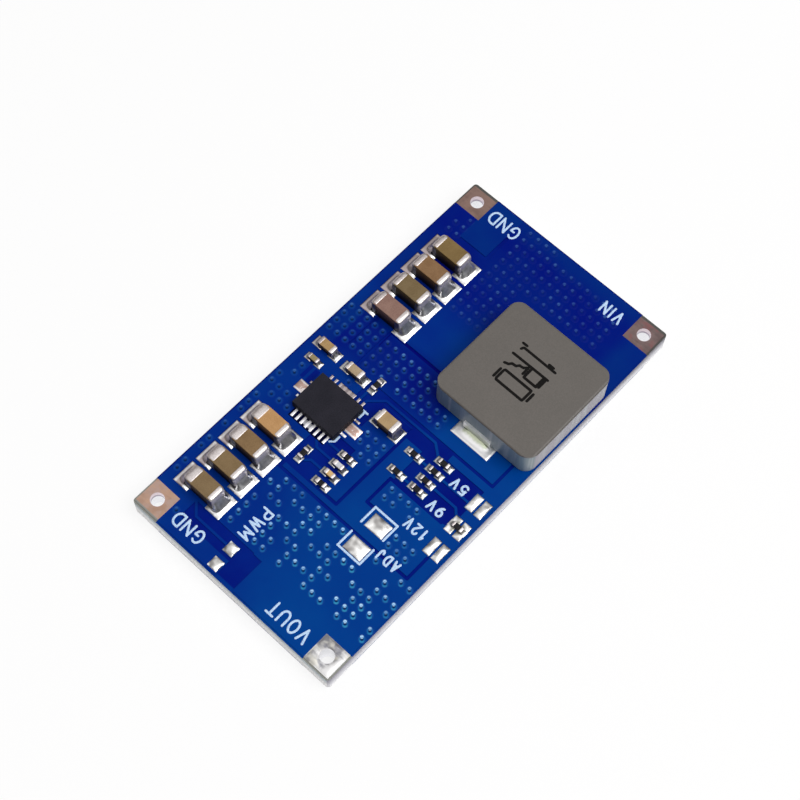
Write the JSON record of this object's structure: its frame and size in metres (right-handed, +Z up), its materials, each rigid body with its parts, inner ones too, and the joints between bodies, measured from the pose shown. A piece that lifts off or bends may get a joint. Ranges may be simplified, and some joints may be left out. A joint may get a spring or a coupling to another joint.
{
  "type": "boost converter module",
  "caption": "Flat blue circuit board with a square pressed inductor, rows of ceramic capacitors and a controller chip that raises a low supply voltage to a higher output.",
  "frame": {"origin": "middle of the underside of the board", "axes": "+X along the board from the output end to the input end, +Z up out of the component side"},
  "size_m": [0.0402, 0.0212, 0.0048],
  "materials": {
    "laminate": "sawn glass-fibre laminate, pale",
    "copper": "etched copper",
    "mask": "glossy blue solder mask",
    "bare_land": "dull bare copper",
    "tinned_land": "hot-dipped tin, uneven",
    "pressed_iron": "pressed iron powder, warm grey, matt",
    "tinned_strip": "tinned strip",
    "moulding": "black moulding compound",
    "ceramic_brown": "fired ceramic, brown",
    "ceramic_orange": "fired ceramic, orange tan",
    "chip_end": "matt tin plate",
    "ceramic_tan": "fired ceramic, tan",
    "ceramic_grey": "fired ceramic, pale grey",
    "resistor_black": "black overglaze",
    "solder": "bright solder"
  },
  "bodies": {
    "root": {"laminate": "laminate", "copper_top": "copper", "copper_bottom": "copper", "inductor_winding": "copper", "mask_top": "mask", "mask_bottom": "mask", "terminal_gnd_out": "bare_land", "terminal_gnd_in": "bare_land", "terminal_vin": "bare_land", "terminal_vout": "tinned_land", "inductor_core": "pressed_iron", "inductor_terminals": "tinned_strip", "controller_body": "moulding", "controller_lands": "tinned_strip", "output_cap_1_body": "ceramic_brown", "output_cap_2_body": "ceramic_brown", "output_cap_3_body": "ceramic_brown", "input_cap_1_body": "ceramic_brown", "input_cap_2_body": "ceramic_brown", "input_cap_3_body": "ceramic_brown", "input_cap_4_body": "ceramic_brown", "output_cap_4_body": "ceramic_orange", "output_cap_1_ends": "chip_end", "output_cap_2_ends": "chip_end", "output_cap_3_ends": "chip_end", "output_cap_4_ends": "chip_end", "input_cap_1_ends": "chip_end", "input_cap_2_ends": "chip_end", "input_cap_3_ends": "chip_end", "input_cap_4_ends": "chip_end", "small_cap_1_body": "ceramic_tan", "small_cap_2_body": "ceramic_tan", "small_cap_3_body": "ceramic_tan", "small_cap_4_body": "ceramic_tan", "small_cap_5_body": "ceramic_tan", "small_cap_6_body": "ceramic_grey", "resistor_1_body": "resistor_black", "resistor_2_body": "resistor_black", "resistor_3_body": "resistor_black", "resistor_4_body": "resistor_black", "resistor_5_body": "resistor_black", "resistor_6_body": "resistor_black", "resistor_7_body": "resistor_black", "resistor_8_body": "resistor_black", "resistor_9_body": "resistor_black", "resistor_10_body": "resistor_black", "resistor_11_body": "resistor_black", "small_cap_ends": "chip_end", "resistor_ends": "chip_end", "solder_output_caps": "solder", "solder_input_caps": "solder", "solder_small_caps": "solder", "solder_resistors": "solder", "solder_controller": "solder", "solder_inductor": "solder", "solder_pads": "solder"}
  },
  "joints": []
}
